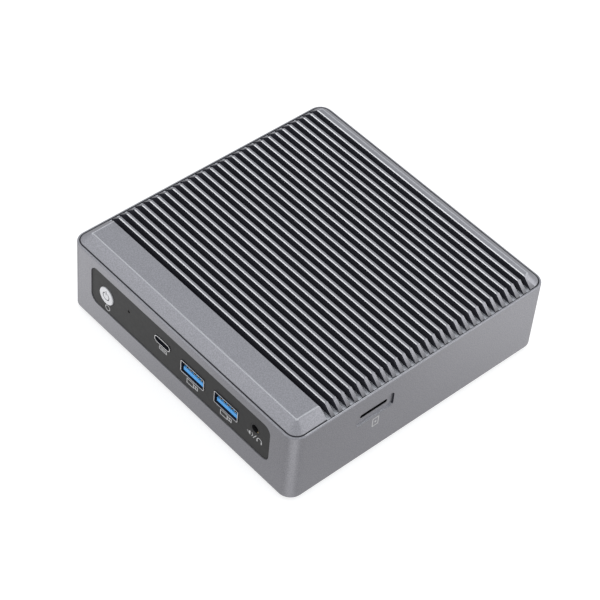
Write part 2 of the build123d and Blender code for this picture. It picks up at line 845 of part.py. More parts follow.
lan_inner = lan_sheet + insert_gap
lan_cavity_z = lan_z + lan_cavity_lift
lan_cavity_top = lan_cavity_z + lan_cavity_height / 2
lan_light_z = lan_z - lan_height / 2 + lan_inner + lan_light_height
lan_contact_drop = lan_cavity_height / 4

with BuildPart() as lan_shield:
    with BuildSketch(rear_mouth):
        with Locations((lan_u, lan_z)):
            Rectangle(lan_width, lan_height)
    extrude(amount=-lan_depth)
    with BuildSketch(rear_mouth):
        with Locations((lan_u, lan_z)):
            Rectangle(lan_width - 2 * lan_sheet, lan_height - 2 * lan_sheet)
    extrude(amount=lan_sheet - lan_depth, mode=Mode.SUBTRACT)
finish(lan_shield, "lan_shield")

with BuildPart() as lan_insert:
    with BuildSketch(rear_mouth.offset(-lan_sheet)):
        with Locations((lan_u, lan_z)):
            Rectangle(lan_width - 2 * lan_inner, lan_height - 2 * lan_inner)
    extrude(amount=lan_sheet + lan_inner - lan_depth)
    with BuildSketch(rear_mouth.offset(-lan_sheet)):
        with Locations((lan_u, lan_cavity_z)):
            Rectangle(lan_cavity_width, lan_cavity_height)
        with Locations((lan_u, lan_cavity_z - lan_cavity_height / 2)):
            Rectangle(lan_key_width, 2 * lan_key_height)
    extrude(amount=-lan_cavity_depth, mode=Mode.SUBTRACT)
    with BuildSketch(rear_mouth.offset(-lan_sheet)):
        with Locations((lan_u - lan_light_x, lan_light_z), (lan_u + lan_light_x, lan_light_z)):
            Rectangle(lan_light_width + 2 * insert_gap, lan_light_height + 2 * insert_gap)
    extrude(amount=-lan_light_depth - insert_gap, mode=Mode.SUBTRACT)
finish(lan_insert, "lan_insert")

with BuildPart() as lan_contacts:
    for step in range(lan_contact_count):
        with BuildSketch(Plane.YZ.offset((step - (lan_contact_count - 1) / 2) * lan_contact_pitch - lan_u)):
            with Locations((back_face + rear_proud - lan_sheet - lan_contact_size, lan_cavity_top)):
                Polygon(
                    (0, 0),
                    (-lan_contact_drop, 0),
                    (-lan_contact_length, -lan_contact_drop),
                    (lan_contact_size - lan_contact_length, -lan_contact_drop - lan_contact_size),
                    align=None,
                )
    extrude(amount=lan_contact_size / 2, both=True)
finish(lan_contacts, "lan_contacts")

with BuildPart() as lan_lights:
    with BuildSketch(rear_mouth.offset(-lan_sheet)):
        with Locations((lan_u - lan_light_x, lan_light_z), (lan_u + lan_light_x, lan_light_z)):
            Rectangle(lan_light_width, lan_light_height)
    extrude(amount=-lan_light_depth)
finish(lan_lights, "lan_lights")

dc_block_z = board_bottom - dc_height / 2

with BuildPart() as dc_jack:
    with BuildSketch(back_out.offset(-panel_back)):
        with Locations((dc_u, dc_block_z)):
            Rectangle(dc_width, dc_height)
    extrude(amount=-dc_depth)
    with BuildSketch(back_out.offset(-panel_back)):
        with Locations((dc_u, dc_z)):
            Circle(dc_collar_radius)
    extrude(amount=panel_back)
    with BuildSketch(back_out):
        with Locations((dc_u, dc_z)):
            Circle(dc_bore_radius)
    extrude(amount=-dc_bore_depth, mode=Mode.SUBTRACT)
finish(dc_jack, "dc_jack")

with BuildPart() as dc_jack_pin:
    with BuildSketch(back_out.offset(-dc_pin_setback)):
        with Locations((dc_u, dc_z)):
            Circle(dc_pin_radius)
    extrude(amount=dc_pin_setback - dc_bore_depth)
    fillet(dc_jack_pin.edges().group_by(Axis.Y)[-1], dc_pin_radius / 2)
finish(dc_jack_pin, "dc_jack_pin")

# ---------------------------------------------------------------- main board and the parts on top of it

audio_cut_width = audio_width + 2 * clearance_gap
audio_cut_back = front_face + panel_back + audio_depth + clearance_gap

with BuildPart() as motherboard:
    with BuildSketch(Plane.XY.offset(board_bottom)):
        Rectangle(board_width, board_depth)
        with GridLocations(board_width - board_notch, board_depth - board_notch, 2, 2):
            Rectangle(board_notch, board_notch, mode=Mode.SUBTRACT)
        with Locations(*board_holes):
            Circle(clearance_hole, mode=Mode.SUBTRACT)
        with Locations((audio_x, audio_cut_back - audio_depth)):
            Rectangle(audio_cut_width, 2 * audio_depth, mode=Mode.SUBTRACT)
    extrude(amount=board_thickness)
finish(motherboard, "motherboard")

with BuildPart() as board_screws:
    with BuildSketch(Plane.XY.offset(board_bottom)):
        with Locations(*board_holes):
            Circle(screw_radius)
    extrude(amount=screw_length)
    with BuildSketch(Plane.XY.offset(board_bottom)):
        with Locations(*board_holes):
            Circle(board_head_radius)
    extrude(amount=-screw_head_height)
    board_heads = Plane(origin=(0, 0, board_bottom - screw_head_height), z_dir=(0, 0, -1))
    cut_cross(board_heads, board_holes)
finish(board_screws, "board_screws")


def make_slab(places, length, depth, bottom, thickness, name):
    """Flat rectangular pieces, one at each place."""
    with BuildPart() as slab:
        with BuildSketch(Plane.XY.offset(bottom)):
            with Locations(*places):
                Rectangle(length, depth)
        extrude(amount=thickness)
    finish(slab, name)


def column(x, y, pitch, count):
    """Evenly spaced places along Y, centred on one point."""
    return [(x, y + (step - (count - 1) / 2) * pitch) for step in range(count)]


choke_places = column(choke_x, cpu_y, choke_pitch, choke_count)
can_places = column(can_x, cpu_y, can_pitch, can_count)
cpu_place = [(cpu_x, cpu_y)]
make_slab(cpu_place, substrate_width, substrate_depth, board_top, substrate_thickness, "cpu_substrate")
make_slab(cpu_place, die_width, die_depth, board_top + substrate_thickness, die_thickness, "cpu_die")
make_slab(cpu_place, pad_width, pad_width, pad_bottom, pad_thickness, "thermal_pad")
make_slab(choke_places, choke_size, choke_size, board_top, choke_height, "power_chokes")

with BuildPart() as capacitors:
    with BuildSketch(Plane.XY.offset(board_top)):
        with Locations(*can_places):
            Circle(can_radius)
    extrude(amount=can_height)
finish(capacitors, "capacitors")

# ---------------------------------------------------------------- memory module, its socket and latches

memory_middle = board_bottom - memory_drop
memory_bottom = memory_middle - memory_thickness / 2
socket_front = memory_y + memory_socket_depth / 2
module_y = socket_front - memory_grip + memory_depth / 2
pivot_x = memory_width / 2 + latch_side_gap + stem_radius
pivot_y = socket_front + stem_radius + clearance_gap
pivot_radius = stem_radius / 2
latch_bottom = memory_bottom - clearance_gap - latch_hook / 2
latch_top = board_bottom - reader_rail - running_gap
hook_width = latch_side_gap + latch_thickness + latch_hook

with BuildPart() as memory_socket:
    with BuildSketch(Plane.XY.offset(board_bottom)):
        with Locations((memory_x, memory_y)):
            Rectangle(memory_width + 2 * memory_socket_side, memory_socket_depth)
    extrude(amount=-memory_socket_height)
    with BuildSketch(Plane.XY.offset(memory_bottom - insert_gap)):
        with Locations((memory_x, socket_front)):
            Rectangle(memory_width + 2 * insert_gap, 2 * (memory_grip + insert_gap))
    extrude(amount=memory_thickness + 2 * insert_gap, mode=Mode.SUBTRACT)
    # Ears with the pins that the latches turn on
    with BuildSketch(Plane.XY.offset(board_bottom)):
        with Locations((memory_x - pivot_x, pivot_y), (memory_x + pivot_x, pivot_y)):
            Rectangle(2 * stem_radius, 2 * (pivot_y - socket_front))
    extrude(amount=-reader_rail)
    with BuildSketch(Plane.XY.offset(board_bottom)):
        with Locations((memory_x - pivot_x, pivot_y), (memory_x + pivot_x, pivot_y)):
            Circle(pivot_radius)
    extrude(amount=latch_bottom - board_bottom)
finish(memory_socket, "memory_socket")

for side, sign in (("left", -1), ("right", 1)):
    with BuildPart() as latch:
        with BuildSketch(Plane.XY.offset(latch_bottom)):
            with Locations((memory_x + sign * pivot_x, pivot_y)):
                Circle(stem_radius)
            with Locations((
                memory_x + sign * (memory_width / 2 + latch_side_gap + latch_thickness / 2),
                pivot_y + latch_length / 2,
            )):
                Rectangle(latch_thickness, latch_length)
        extrude(amount=latch_top - latch_bottom)
        # Hook under the edge of the module
        with BuildSketch(Plane.XY.offset(latch_bottom)):
            with Locations((
                memory_x + sign * (memory_width / 2 + latch_side_gap + latch_thickness - hook_width / 2),
                pivot_y + latch_length - latch_hook,
            )):
                Rectangle(hook_width, 2 * latch_hook)
        extrude(amount=latch_hook / 2)
        with BuildSketch(Plane.XY.offset(latch_bottom)):
            with Locations((memory_x + sign * pivot_x, pivot_y)):
                Circle(pivot_radius + running_gap)
        extrude(amount=latch_top - latch_bottom, mode=Mode.SUBTRACT)
    finish(latch, f"memory_latch_{side}")

make_slab([(memory_x, module_y)], memory_width, memory_depth, memory_bottom, memory_thickness,
          "memory_module")
chip_pitch = memory_width / memory_chip_count * 0.9
chip_places = [
    (memory_x + (step - (memory_chip_count - 1) / 2) * chip_pitch, module_y)
    for step in range(memory_chip_count)
]
make_slab(chip_places, memory_chip_width, memory_chip_depth, memory_bottom - memory_chip_thickness,
          memory_chip_thickness, "memory_chips")

# ---------------------------------------------------------------- solid state drive and wireless card

m2_bottom = board_bottom - m2_drop - m2_thickness / 2
ssd_end = ssd_x - m2_socket_depth / 2 + m2_grip - ssd_length
wifi_end = wifi_x - m2_socket_depth / 2 + m2_grip - wifi_length
m2_ends = [(ssd_end, ssd_y), (wifi_end, wifi_y)]
shield_length = wifi_length - m2_grip - 2 * standoff_radius - shield_margin


def make_m2_socket(x, y, name):
    """An edge socket that holds one end of a card."""
    with BuildPart() as socket:
        with BuildSketch(Plane.XY.offset(board_bottom)):
            with Locations((x, y)):
                Rectangle(m2_socket_depth, m2_socket_width)
        extrude(amount=-m2_socket_height)
        with BuildSketch(Plane.XY.offset(m2_bottom - insert_gap)):
            with Locations((x - m2_socket_depth / 2, y)):
                Rectangle(2 * (m2_grip + insert_gap), m2_width + 2 * insert_gap)
        extrude(amount=m2_thickness + 2 * insert_gap, mode=Mode.SUBTRACT)
    finish(socket, name)


make_m2_socket(ssd_x, ssd_y, "ssd_socket")
make_m2_socket(wifi_x, wifi_y, "wifi_socket")

with BuildPart() as ssd_board:
    with BuildSketch(Plane.XY.offset(m2_bottom)):
        with Locations((ssd_end + ssd_length / 2, ssd_y)):
            Rectangle(ssd_length, m2_width)
        with Locations((ssd_end, ssd_y)):
            Circle(m2_screw_radius + clearance_gap, mode=Mode.SUBTRACT)
    extrude(amount=m2_thickness)
finish(ssd_board, "ssd_board")

ssd_chip_places = [(ssd_end + ssd_length * share, ssd_y) for share in (0.25, 0.5, 0.75)]
make_slab(ssd_chip_places, ssd_chip_width, ssd_chip_width, m2_bottom - ssd_chip_thickness,
          ssd_chip_thickness, "ssd_chips")

with BuildPart() as wifi_card:
    with BuildSketch(Plane.XY.offset(m2_bottom)):
        with Locations((wifi_end + wifi_length / 2, wifi_y)):
            Rectangle(wifi_length, m2_width)
        with Locations((wifi_end, wifi_y)):
            Circle(m2_screw_radius + clearance_gap, mode=Mode.SUBTRACT)
    extrude(amount=m2_thickness)
    with BuildSketch(Plane.XY.offset(m2_bottom)):
        with Locations((wifi_end + 2 * standoff_radius + shield_length / 2, wifi_y)):
            Rectangle(shield_length, m2_width - 2 * shield_margin)
    extrude(amount=-shield_height)
finish(wifi_card, "wifi_card")

with BuildPart() as m2_standoffs:
    with BuildSketch(Plane.XY.offset(m2_bottom + m2_thickness)):
        with Locations(*m2_ends):
            Circle(standoff_radius)
            Circle(m2_screw_radius + thread_gap, mode=Mode.SUBTRACT)
    extrude(amount=board_bottom - m2_bottom - m2_thickness)
finish(m2_standoffs, "m2_standoffs")

with BuildPart() as m2_screws:
    with BuildSketch(Plane.XY.offset(m2_bottom)):
        with Locations(*m2_ends):
            Circle(m2_screw_radius)
    extrude(amount=board_bottom - m2_bottom - thread_spare)
    with BuildSketch(Plane.XY.offset(m2_bottom)):
        with Locations(*m2_ends):
            Circle(m2_head_radius)
    extrude(amount=-m2_head_height)
finish(m2_screws, "m2_screws")

# ---------------------------------------------------------------- coin cell

cell_bottom = board_bottom - holder_floor - cell_thickness

with BuildPart() as cell_holder:
    with BuildSketch(Plane.XY.offset(cell_bottom)):
        with Locations((cell_x, cell_y)):
            Circle(cell_radius + running_gap + holder_wall)
    extrude(amount=board_bottom - cell_bottom)
    with BuildSketch(Plane.XY.offset(cell_bottom)):
        with Locations((cell_x, cell_y)):
            Circle(cell_radius + running_gap)
    extrude(amount=cell_thickness, mode=Mode.SUBTRACT)
finish(cell_holder, "cell_holder")

with BuildPart() as coin_cell:
    with BuildSketch(Plane.XY.offset(cell_bottom)):
        with Locations((cell_x, cell_y)):
            Circle(cell_radius)
    extrude(amount=cell_thickness)
finish(coin_cell, "coin_cell")
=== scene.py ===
import math

import bmesh
import bpy
from bpy.props import FloatProperty, FloatVectorProperty, IntProperty, PointerProperty
from mathutils import Matrix, Vector


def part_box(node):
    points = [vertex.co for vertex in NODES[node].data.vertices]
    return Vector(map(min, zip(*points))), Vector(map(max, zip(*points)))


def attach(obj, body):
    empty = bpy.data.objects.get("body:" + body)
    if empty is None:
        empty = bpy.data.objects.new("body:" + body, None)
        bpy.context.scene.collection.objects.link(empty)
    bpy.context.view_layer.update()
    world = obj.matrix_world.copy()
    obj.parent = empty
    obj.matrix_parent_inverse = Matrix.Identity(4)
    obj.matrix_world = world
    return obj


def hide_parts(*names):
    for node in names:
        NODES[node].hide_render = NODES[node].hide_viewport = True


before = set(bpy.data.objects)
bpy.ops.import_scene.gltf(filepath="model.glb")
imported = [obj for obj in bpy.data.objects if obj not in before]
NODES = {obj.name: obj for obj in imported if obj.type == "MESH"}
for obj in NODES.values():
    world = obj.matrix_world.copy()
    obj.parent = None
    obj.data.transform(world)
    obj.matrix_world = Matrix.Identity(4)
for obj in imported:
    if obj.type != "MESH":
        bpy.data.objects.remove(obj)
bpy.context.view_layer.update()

bl_info = {
    "name": "Fanless mini PC",
    "version": (1, 0, 0),
    "blender": (4, 5, 0),
    "location": "3D View > Sidebar > Mini PC",
    "description": "Finishes, printed marks, contacts and a studio for a fanless mini PC",
    "category": "Object",
}

MM = 0.001
BODY = "computer"                       # the body that every fixed piece rides on
MERGE_DISTANCE = 0.0002 * MM            # points of a CAD mesh that are nearer are one point
SPIN_MERGE = 0.001 * MM                 # the ends of a full ring meet within this
SMOOTH_ANGLE = 32.0                     # degrees; sharper edges stay crisp

# Card reader in the right wall: the middle of its slot, and of the mark under it
CARD_SLOT_Y, CARD_SLOT_Z = -23.9 * MM, 24.4 * MM
CARD_SLOT_HALF = (7.2 * MM, 1.2 * MM)
# Depths between which the walls of the slot are painted near black as shade
CARD_SLOT_WALL = (60.0 * MM, 62.55 * MM)
CARD_RECESS = (62.6 * MM, 63.45 * MM)
CARD_RECESS_HALF = 9.4 * MM
CARD_MARK_Y, CARD_MARK_Z = -22.9 * MM, 17.4 * MM
CARD_MARK_HALF = (1.6 * MM, 2.2 * MM)
CARD_MARK_LINE = 0.38 * MM
CARD_MARK_DOT = 0.5 * MM
WALL_FACE = 63.2 * MM                   # only the right wall's outside lies past this

# Heights on the cover
# Heights of the band where the cover meets the case, painted much darker as the shade of the gap
SEAM_SHADE = (34.0 * MM, 35.16 * MM)
# Where painted shade on the ends of the fins starts at their foot, and how high it climbs
FIN_END_FOOT, FIN_END_RISE = 35.2 * MM, 2.6 * MM

# Depth of the blue tongues into their sockets, where painted shade fades them to near black
SOCKET_MOUTH = 62.6 * MM
TONGUE_LIT, TONGUE_FADE = 1.3 * MM, 1.1 * MM

# The spring contact that shows in the round socket
SPRING_LOW = (43.8 * MM, -62.7 * MM, 22.1 * MM)
SPRING_HIGH = (44.4 * MM, -61.7 * MM, 22.5 * MM)

# Name, place, size, setting and share of the power of each soft box
LIGHTS = (
    ("low_left", (-0.15, -0.17, -0.07), 0.14, "low", 1.0),
    ("low_right", (0.17, 0.16, -0.07), 0.14, "low", 0.9),
    ("low_front", (0.15, -0.15, -0.08), 0.12, "low", 0.8),
    ("fill", (-0.5, -0.6, 0.7), 0.4, "fill", 1.0),
    ("right", (0.42, 0.40, 0.32), 0.30, "right", 1.0),
)
LIGHT_TARGET = (0.0, 0.0, 0.02)
SKY_COLOUR = (0.945, 0.965, 1.0, 1.0)
SKY_START = 0.06                        # height above the horizon at which the sky has its colour
CAMERA_PLACE = (0.389069, -0.401901, 0.602657)
CAMERA_TURN = ((0.66147, -0.575896, 0.480418),
               (0.746786, 0.446806, -0.49262),
               (0.069045, 0.684623, 0.72562))


def colour_setting(name, description, default):
    """A colour that a user would change."""
    return FloatVectorProperty(name=name, description=description, default=default, subtype="COLOR",
                               size=3, min=0.0, max=1.0)


def length_setting(name, description, default):
    """A length in metres that a user would change."""
    return FloatProperty(name=name, description=description, default=default, unit="LENGTH", precision=5)


def strength_setting(name, description, default, unit="NONE"):
    """The strength of a light that a user would change."""
    return FloatProperty(name=name, description=description, default=default, min=0.0, unit=unit)


# ------------------------------------------------------------------ settings


class CaseSettings(bpy.types.PropertyGroup):
    metal: colour_setting("Case metal", "Anodised metal of the case and the finned cover",
                          (0.275, 0.274, 0.293))
    # Black coat on the walls of the grooves, also used as painted shade: on the cover's skirt in the gap, on
    # the rear bevels of the fins and on an end wall of the card recess
    groove: colour_setting("Groove paint", "Black coat on the walls of the grooves", (0.040, 0.040, 0.049))
    # Painted highlight: a lighter copy of the case metal along the rounded bend round the flat top, also on
    # the lower wall of the card recess
    crease_highlight: colour_setting("Crease highlight", "Rubbed metal on the crease round the flat top", (0.48, 0.485, 0.505))
    # Painted light: a lighter copy of the case metal, so that the floors of the deep grooves show grey
    channel: colour_setting("Groove floor with painted light", "Metal at the bottom of the grooves", (0.52, 0.53, 0.56))
    # Bare cut metal, made much lighter than the case metal as a painted highlight; only the front bevels of
    # the fins and the bevels of their ends get it
    edge: colour_setting("Cut edge highlight", "Bare metal along the top edges of the fins", (0.68, 0.68, 0.69))
    edge_width: length_setting("Edge width", "Cut along the sloped ends of the fins", 0.34 * MM)
    grain: length_setting("Grain", "Size of the blasted grain", 0.45 * MM)


class PanelSettings(bpy.types.PropertyGroup):
    plastic: colour_setting("Panel", "Dark plate of the front and the rear", (0.030, 0.030, 0.0295))
    ink: colour_setting("Ink", "Printed marks under the ports", (0.52, 0.52, 0.52))
    button: colour_setting("Button", "Satin metal of the power button", (0.60, 0.605, 0.62))
    ink_thickness: length_setting("Ink thickness", "How far a printed mark stands off the panel", 0.03 * MM)
    mark_line: length_setting("Line", "Width of the lines in the marks", 0.32 * MM)


class PortSettings(bpy.types.PropertyGroup):
    tongue: colour_setting("Tongue", "Blue insert of the USB ports", (0.09, 0.40, 0.86))
    plating: colour_setting("Plating", "Nickel plated sheet of the ports", (0.72, 0.72, 0.73))
    inside: colour_setting("Inside", "Shaded inner walls of the sockets", (0.035, 0.038, 0.052))
    gold: colour_setting("Contacts", "Gold plated contacts", (0.86, 0.62, 0.28))
    contact_count: IntProperty(name="Contact count", description="Contact strips on a USB tongue", default=5,
                               min=1, max=9)


class StageSettings(bpy.types.PropertyGroup):
    floor: colour_setting("Floor", "Pale studio floor", (0.42, 0.42, 0.42))
    ground: colour_setting("Ground light", "Light that comes from below the horizon", (0.55, 0.545, 0.55))
    glow: strength_setting("Floor glow", "Light that shines through the floor", 0.70)
    sky: strength_setting("Room light", "Strength of the even light of the room", 1.02)
    low: strength_setting("Low lights", "Power of the soft boxes under the floor", 0.062, "POWER")
    fill: strength_setting("Fill light", "Power of the soft box at the upper left", 0.9, "POWER")
    right: strength_setting("Right light", "Power of the soft box at the rear right", 0.9, "POWER")
    lens: FloatProperty(name="Lens", description="Focal length of the camera in millimetres", default=127.35,
                        subtype="DISTANCE_CAMERA", unit="CAMERA")


# ------------------------------------------------------------------ shader maths


class Wire:
    """A node socket that takes part in Python sums, where each step adds a Math node."""

    def __init__(self, tree, socket):
        self.tree = tree
        self.socket = socket

    def step(self, operation, *values):
        node = self.tree.nodes.new("ShaderNodeMath")
        node.operation = operation
        for socket, value in zip(node.inputs, values):
            plug(self.tree, socket, value)
        return Wire(self.tree, node.outputs[0])

    def __add__(self, other):
        return self.step("ADD", self, other)

    def __sub__(self, other):
        return self.step("SUBTRACT", self, other)

    def __rsub__(self, other):
        return self.step("SUBTRACT", other, self)

    def __mul__(self, other):
        return self.step("MULTIPLY", self, other)

    def __gt__(self, other):
        return self.step("GREATER_THAN", self, other)

    def __lt__(self, other):
        return self.step("LESS_THAN", self, other)

    def __abs__(self):
        return self.step("ABSOLUTE", self)

    __radd__ = __add__
    __rmul__ = __mul__


def plug(tree, socket, value):
    """Links a wire to a socket, or sets the socket to a plain value."""
    if isinstance(value, Wire):
        tree.links.new(value.socket, socket)
    else:
        socket.default_value = value


class Nodes:
    """Adds nodes to the tree of a material or a world."""

    def __init__(self, tree):
        self.tree = tree

    def node(self, kind, settings=(), out=0, **inputs):
        """Adds a node, with its settings first and then its inputs, and returns one of its outputs."""
        node = self.tree.nodes.new(kind)
        for key, value in dict(settings).items():
            if key == "stops":
                for stop, (position, tint) in zip(node.color_ramp.elements, value):
                    stop.position = position
                    stop.color = tint
            else:
                setattr(node, key, value)
        for key, value in inputs.items():
            plug(self.tree, node.inputs[int(key[1:]) if key[1:].isdigit() else key], value)
        return Wire(self.tree, node.outputs[out])


class Finish(Nodes):
    """A material with one Principled shader and the nodes that feed it."""

    def __init__(self, name, colour, roughness, metallic=0.0, coat=0.0, specular=0.5):
        self.material = bpy.data.materials.new(name)
        self.material.use_nodes = True
        self.material.diffuse_color = (*colour, 1.0)
        super().__init__(self.material.node_tree)
        self.shader = self.tree.nodes["Principled BSDF"]
        self.colour = (*colour, 1.0)
        self.place = self.node("ShaderNodeTexCoord", out="Object")
        self.feed("Base Color", self.colour)
        self.feed("Roughness", roughness)
        self.feed("Metallic", metallic)
        self.feed("Coat Weight", coat)
        self.feed("Coat Roughness", 0.1)
        self.feed("Specular IOR Level", specular)

    def axis(self, letter):
        """One coordinate of the place, in metres."""
        return self.node("ShaderNodeSeparateXYZ", out=letter, Vector=self.place)

    def print_card_and_shade_slot(self, ink):
        """Prints the outline of a memory card under its slot, and paints shade into the slot by making its
        walls near black.
        """
        x, y, z = (self.axis(letter) for letter in "XYZ")
        across, up = abs(y - CARD_MARK_Y), abs(z - CARD_MARK_Z)
        half_width, half_height = CARD_MARK_HALF
        outer = (across < half_width) * (up < half_height)
        inner = (across < half_width - CARD_MARK_LINE) * (up < half_height - CARD_MARK_LINE)
        dot = (across * across + up * up) < CARD_MARK_DOT ** 2
        mark = (outer - inner + dot) * (x > WALL_FACE)
        # painted shade: the walls of the card slot go near black
        slot = (abs(y - CARD_SLOT_Y) < CARD_SLOT_HALF[0]) * (abs(z - CARD_SLOT_Z) < CARD_SLOT_HALF[1])
        slot = slot * (x < CARD_SLOT_WALL[1]) * (x > CARD_SLOT_WALL[0])
        printed = self.mix(mark, self.fed("Base Color"), (*(part * 1.2 for part in ink), 1.0))
        self.feed("Base Color", self.mix(slot, printed, (0.004, 0.004, 0.004, 1.0)))

    def feed(self, socket, value):
        plug(self.tree, self.shader.inputs[socket], value)

    def fed(self, socket):
        """What feeds a socket of the shader so far."""
        return Wire(self.tree, self.shader.inputs[socket].links[0].from_socket)

    def noise(self, size, detail=3.0, stretch=(1.0, 1.0, 1.0)):
        """Soft random pattern whose spots are about as wide as size."""
        place = self.node("ShaderNodeMapping", {"vector_type": "POINT"}, Vector=self.place, Scale=stretch)
        return self.node("ShaderNodeTexNoise", out="Fac", Vector=place, Scale=1.0 / size, Detail=detail)

    def mix(self, share, first, second):
        """Blends two colours by a share."""
        return self.node("ShaderNodeMix", {"data_type": "RGBA"}, out=2, i0=share, i6=first, i7=second)

    def shade(self, factor):
        """The finish's own colour, made lighter or darker."""
        return (*(min(1.0, part * factor) for part in self.colour[:3]), 1.0)

    def mottle(self, size, spread):
        """Lets the colour wander a little from place to place."""
        return self.mix(self.noise(size), self.shade(1.0 - spread), self.shade(1.0 + spread))

    def bump(self, height, strength, distance):
        self.feed("Normal", self.node("ShaderNodeBump", out="Normal", Height=height, Strength=strength,
                                      Distance=distance))


def plain_finish(name, colour, roughness, grain, metallic=0.0, spread=0.08, depth=0.02 * MM, **more):
    """A finish with mottled colour, uneven gloss and a fine grain."""
    finish = Finish(name, colour, roughness, metallic, **more)
    finish.feed("Base Color", finish.mottle(grain * 14, spread))
    finish.feed("Roughness", finish.noise(grain * 9) * 0.16 + (roughness - 0.08))
    finish.bump(finish.noise(grain), 0.35, depth)
    return finish.material


def brushed_finish(name, colour, roughness, stretch, metallic=1.0, spread=0.10):
    """Metal with fine lines along one direction."""
    finish = Finish(name, colour, roughness, metallic)
    lines = finish.noise(0.12 * MM, 2.0, stretch)
    finish.feed("Base Color", finish.mix(lines, finish.shade(1.0 - spread), finish.shade(1.0 + spread)))
    finish.feed("Roughness", lines * 0.2 + (roughness - 0.1))
    finish.bump(lines, 0.25, 0.01 * MM)
    return finish.material


def tongue_finish(name, colour):
    """Moulded blue plastic with painted shade: it falls off to near black away from the mouth of its socket.
    """
    finish = Finish(name, colour, 0.36)
    depth = SOCKET_MOUTH - abs(finish.axis("Y"))
    near = finish.mottle(0.9 * MM, 0.10)
    # painted shade deeper in the socket
    finish.feed("Base Color", finish.mix((depth - TONGUE_LIT) * (1 / TONGUE_FADE), near, finish.shade(0.03)))
    finish.feed("Roughness", finish.noise(0.4 * MM) * 0.2 + 0.28)
    finish.bump(finish.noise(0.3 * MM), 0.3, 0.02 * MM)
    return finish.material


def blasted_metal(name, colour, grain, roughness=0.46):
    """Bead-blasted and anodised aluminium: fine sparkle over a slightly cloudy colour."""
    finish = Finish(name, colour, roughness, metallic=0.62, specular=0.5)
    cloud = finish.noise(26 * MM, 2.0)
    sparkle = finish.noise(grain, 2.0)
    dusky = finish.mix(cloud, finish.shade(0.95), finish.shade(1.05))
    speckled = finish.mix((sparkle > 0.57) * 0.6, dusky, finish.shade(1.22))
    pitted = finish.mix((sparkle < 0.43) * 0.6, speckled, finish.shade(0.80))
    finish.feed("Base Color", pitted)
    finish.feed("Roughness", sparkle * 0.14 + cloud * 0.06 + (roughness - 0.10))
    finish.bump(sparkle + finish.noise(grain * 2.7) * 0.6, 0.22, 0.03 * MM)
    return finish


# ------------------------------------------------------------------ modelling helpers


def clear_selection():
    bpy.ops.object.select_all(action="DESELECT")


def activate(piece):
    """Makes a piece the only selected and the active one."""
    clear_selection()
    piece.select_set(True)
    bpy.context.view_layer.objects.active = piece


def in_edit(piece, work):
    """Runs operators on a piece in edit mode."""
    activate(piece)
    bpy.ops.object.mode_set(mode="EDIT")
    work()
    bpy.ops.object.mode_set(mode="OBJECT")


def settle(piece):
    """Moves a piece's place into its mesh, so that its object sits at the origin."""
    activate(piece)
    bpy.ops.object.transform_apply(location=True, rotation=True, scale=True)


def smooth(piece, angle=SMOOTH_ANGLE):
    activate(piece)
    bpy.ops.object.shade_smooth_by_angle(angle=math.radians(angle))


def modify(piece, kind, **settings):
    """Adds a modifier and applies it."""
    activate(piece)
    modifier = piece.modifiers.new(kind.title(), kind)
    for key, value in settings.items():
        setattr(modifier, key, value)
    bpy.ops.object.modifier_apply(modifier=modifier.name)


def paint(piece, *materials):
    """Gives a piece its finishes, in the order of its faces' numbers."""
    piece.data.materials.clear()
    for material in materials:
        piece.data.materials.append(material)


def merged_copy(node, name, body=BODY):
    """A copy of a CAD node with its points merged, which stands for the node."""
    piece = NODES[node].copy()
    piece.data = piece.data.copy()
    piece.parent = None
    for key in list(piece.keys()):      # the marks of a CAD node don't belong on a new piece
        del piece[key]
    piece.name = name
    piece.data.name = name
    bpy.context.scene.collection.objects.link(piece)

    def tidy():
        bpy.ops.mesh.select_all(action="SELECT")
        bpy.ops.mesh.remove_doubles(threshold=MERGE_DISTANCE)

    in_edit(piece, tidy)
    activate(piece)
    bpy.ops.mesh.customdata_custom_splitnormals_clear()
    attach(piece, body)
    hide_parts(node)
    return piece


def skin(node, material):
    """A smooth copy of a CAD node in one finish."""
    piece = merged_copy(node, f"{node}_skin")
    paint(piece, material)
    smooth(piece)
    return piece


def join(pieces, name, material):
    """Joins pieces into one that rides on the computer."""
    activate(pieces[0])
    for piece in pieces:
        piece.select_set(True)
    if len(pieces) > 1:
        bpy.ops.object.join()
    whole = bpy.context.view_layer.objects.active
    whole.name = name
    whole.data.name = name
    settle(whole)
    paint(whole, material)
    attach(whole, BODY)
    return whole


def box(low, high):
    """A box between two corners."""
    low, high = Vector(low), Vector(high)
    clear_selection()
    bpy.ops.mesh.primitive_cube_add(size=1.0, location=(low + high) / 2)
    piece = bpy.context.object
    piece.scale = high - low
    settle(piece)
    return piece


